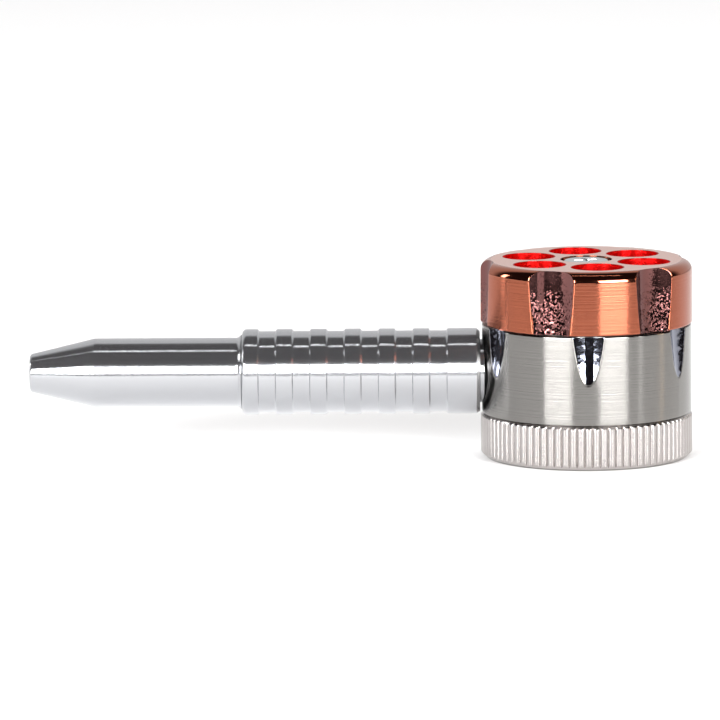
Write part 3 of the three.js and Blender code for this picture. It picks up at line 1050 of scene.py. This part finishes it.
def nylon_lock_nut(steel):
    low, high = (corner.z for corner in span("lock_nut"))
    flats = 3.5
    corner_r = flats / math.cos(math.pi / 6)
    collar = 1.2
    hexagon = [
        [(corner_r * math.cos(i * math.pi / 3), corner_r * math.sin(i * math.pi / 3), z) for i in range(6)]
        for z in (low + collar, high)
    ]
    nut = stand(loft([[Vector(p) for p in ring] for ring in hexagon]), "nylon_lock_nut")
    bevel = 0.35
    blank = [
        (0, low + collar - 1),
        (flats + 0.1, low + collar - 1),
        (flats + 0.1, low + collar),
        (corner_r + 0.05, low + collar + bevel),
        (corner_r + 0.05, high - bevel),
        (flats + 0.1, high),
        (0, high),
    ]
    combine(nut, stand(lathe(blank, 96), "blank"), "INTERSECT")
    band = [(2.95, low, 0.1), (3.35, low, 0.25), (3.35, low + collar + 0.2), (2.95, low + collar + 0.2)]
    combine(nut, stand(lathe(band, 64), "band"), "UNION")
    bore_r = SCREW_R + 0.05
    bore = [
        (0, low - 1),
        (bore_r, low - 1),
        (bore_r, high - 0.2),
        (SCREW_R + 0.4, high + 0.1),
        (0, high + 0.1),
    ]
    combine(nut, stand(lathe(bore, 48), "bore"))
    complete(nut, "body", ["lock_nut"], [steel])


def nut_ring(nylon):
    low, high = span("lock_nut_insert")
    inner, outer = SCREW_R + 0.05, high.x
    ring = [(inner, low.z, 0.1), (outer, low.z, 0.1), (outer, high.z, 0.1), (inner, high.z, 0.1)]
    complete(stand(lathe(ring, 48), "nut_ring"), "body", ["lock_nut_insert"], [nylon])


def o_ring(name, node, body, radius, level, rubber, place=None):
    angles = [i * math.pi / 8 for i in range(16)]
    section = [(radius + RING_CORD * math.cos(a), level + RING_CORD * math.sin(a)) for a in angles]
    ring = stand(lathe(section, 96), name, place)
    complete(ring, body, [node], [rubber])


def wire_screens(steel):
    wire = 0.11
    for i in range(CHAMBERS):
        node = f"chamber_screen_{i + 1}"
        low, high = span(node)
        middle = (low + high) / 2
        screen = stand(bmesh.new(), f"wire_screen_{i + 1}")
        shape_by(
            screen, WEAVE, material=steel, radius=CHAMBER_R - 0.25, pitch=0.62, wires=17, wire_radius=wire
        )
        turn = Matrix.Rotation(bowl_turn + i * math.tau / CHAMBERS, 4, "Z")
        screen.data.transform(Matrix.Translation(middle) @ turn)
        complete(screen, "bowl", [node], [steel])


# ---- Studio ----


def camera():
    """A long lens 1.2 m away, a little above the pipe."""
    place = Vector((-25.92, -1211.6, 203.5)) * MM
    yaw, pitch, roll = (math.radians(a) for a in (-0.799, 8.688, -0.44))
    ahead = Vector((math.sin(yaw) * math.cos(pitch), math.cos(yaw) * math.cos(pitch), -math.sin(pitch)))
    level = Vector((math.cos(yaw), -math.sin(yaw), 0))
    above = level.cross(ahead)
    right = level * math.cos(roll) + above * math.sin(roll)
    up = above * math.cos(roll) - level * math.sin(roll)
    data = bpy.data.cameras.new("camera")
    data.lens = 323.95
    view = bpy.data.objects.new("camera", data)
    view.matrix_world = Matrix.Translation(place) @ Matrix((right, up, -ahead)).transposed().to_4x4()
    bpy.context.scene.collection.objects.link(view)
    bpy.context.scene.camera = view


def toward(azimuth, elevation):
    """A direction from the pipe. Azimuth 0 is the camera's side, and plus is to the right."""
    a, e = math.radians(azimuth), math.radians(elevation)
    return Vector((math.sin(a) * math.cos(e), -math.cos(a) * math.cos(e), math.sin(e)))


def softbox(name, azimuth, elevation, distance, size, watts, colour="#FFFFFF"):
    """A rectangular soft light that faces the pipe."""
    away = toward(azimuth, elevation)
    data = bpy.data.lights.new(name, "AREA")
    data.shape = "RECTANGLE"
    data.size, data.size_y = size
    data.energy = watts
    data.color = linear(colour)[:3]
    light = bpy.data.objects.new(name, data)
    turn = away.to_track_quat("Z", "Y").to_matrix().to_4x4()
    light.matrix_world = Matrix.Translation(Vector((-0.01, 0, 0.02)) + away * distance) @ turn
    light.visible_camera = False
    bpy.context.scene.collection.objects.link(light)
    return light


def black_cloth():
    """A black cloth where the pale table ends in front, seen only in the metal."""
    shape = bmesh.new()
    wide, near, far, height = 4, -0.27, -4, 0.0005
    corners = [(-wide, far, height), (wide, far, height), (wide, near, height), (-wide, near, height)]
    shape.faces.new([shape.verts.new(corner) for corner in corners])
    cloth = stand(shape, "cloth")
    cloth.data.materials.append(black_velvet())
    cloth.visible_camera = False
    cloth.visible_shadow = False


def studio(board):
    """A pale floor in a dim room, with a softbox either side of the lens, strips beside and a pale wall."""
    floor = bmesh.new()
    bmesh.ops.create_grid(floor, x_segments=1, y_segments=1, size=4)
    floor = stand(floor, "floor")
    floor.data.materials.append(board)
    black_cloth()
    rise, tall = 14.65, 0.365  # upright boxes reach from 4 to 25 degrees above the table
    softbox("softbox_left", -32, rise, 1.0, (0.53, tall), 15.5)
    softbox("softbox_right", 29, rise, 1.0, (0.53, tall), 15.5)
    softbox("strip_low", 0, 0.1, 0.42, (0.14, 0.031), 0.019)
    softbox("strip_right", 60.5, rise, 1.0, (0.05, tall), 0.7)
    softbox("strip_side", 89.5, rise, 1.0, (0.06, tall), 0.9, "#E8C8A0")
    softbox("strip_left", -103, rise, 1.0, (0.12, tall), 1.5)
    softbox("strip_above", 0, 85, 1.0, (0.8, 0.03), 0.45)
    fill = softbox("fill", 180, 65, 1.4, (2.6, 1.4), 18)
    backdrop = softbox("backdrop", 180, 30, 1.9, (2.6, 1.0), 8.2)
    for light in (fill, backdrop):
        light.visible_glossy = False  # they light the floor and leave the metal's reflections alone
    world = bpy.data.worlds.new("studio")
    bpy.context.scene.world = world
    world.use_nodes = True
    tree = world.node_tree
    background = tree.nodes["Background"]
    way = add(tree, "ShaderNodeTexCoord").outputs["Generated"]
    parts = add(tree, "ShaderNodeSeparateXYZ", {0: way})
    behind = add(tree, "ShaderNodeMapRange", {"Value": parts.outputs["Y"], "From Min": 0.35, "From Max": 0.6},
                 interpolation_type="SMOOTHSTEP")
    above = add(tree, "ShaderNodeMapRange", {"Value": parts.outputs["Z"], "From Min": 0.88, "From Max": 0.8},
                interpolation_type="SMOOTHSTEP")
    wall = add(tree, MATH, {0: behind, 1: above}, operation="MULTIPLY")
    room = add(tree, "ShaderNodeMix", {"Factor": wall, "A": (0.025, 0.02, 0.022, 1), "B": (0.8, 0.8, 0.8, 1)},
               data_type="RGBA")
    tree.links.new(room.outputs[2], background.inputs["Color"])
    bpy.context.scene.view_settings.view_transform = "Standard"


# ---- The pipe ----


def pipe():
    nickel = turned_nickel_plate()
    aluminium = turned_aluminium()
    zinc = zinc_plated_steel()
    rubber = nitrile_rubber()
    fluted_bowl(turned_copper_plate(), polished_copper_plate(), faced_copper_plate(), cast_copper_plate(),
                red_lacquer())
    wire_screens(screen_steel())
    drum_shell(nickel, cast_nickel_plate())
    knurled_base(nickel, knurled_nickel_plate())
    ribbed_grip(aluminium)
    tapered_mouthpiece(aluminium)
    cross_screw(zinc)
    washer("head_disc", "head_washer", zinc)
    washer("spring_seat", "spring_seat_washer", zinc)
    washer("spring_cap", "spring_cap_washer", zinc)
    slip_gasket(ptfe_sheet())
    coil_spring(spring_steel())
    nylon_lock_nut(zinc)
    nut_ring(nylon_ring())
    o_ring("base_seal_ring", "base_o_ring", "base_seal", 17.6, body_low.z - 0.52, rubber)
    o_ring("grip_seal_ring", "barrel_o_ring", "barrel_seal", SPIGOT_R + 0.55, 18.7, rubber, LAID)
    mouth_ring_r, mouth_ring_x = SPIGOT_R + 0.25, barrel_front - 0.7
    o_ring("mouth_seal_ring", "mouthpiece_o_ring", "mouth_seal", mouth_ring_r, mouth_ring_x, rubber, LAID)


camera()
studio(painted_board())
pipe()
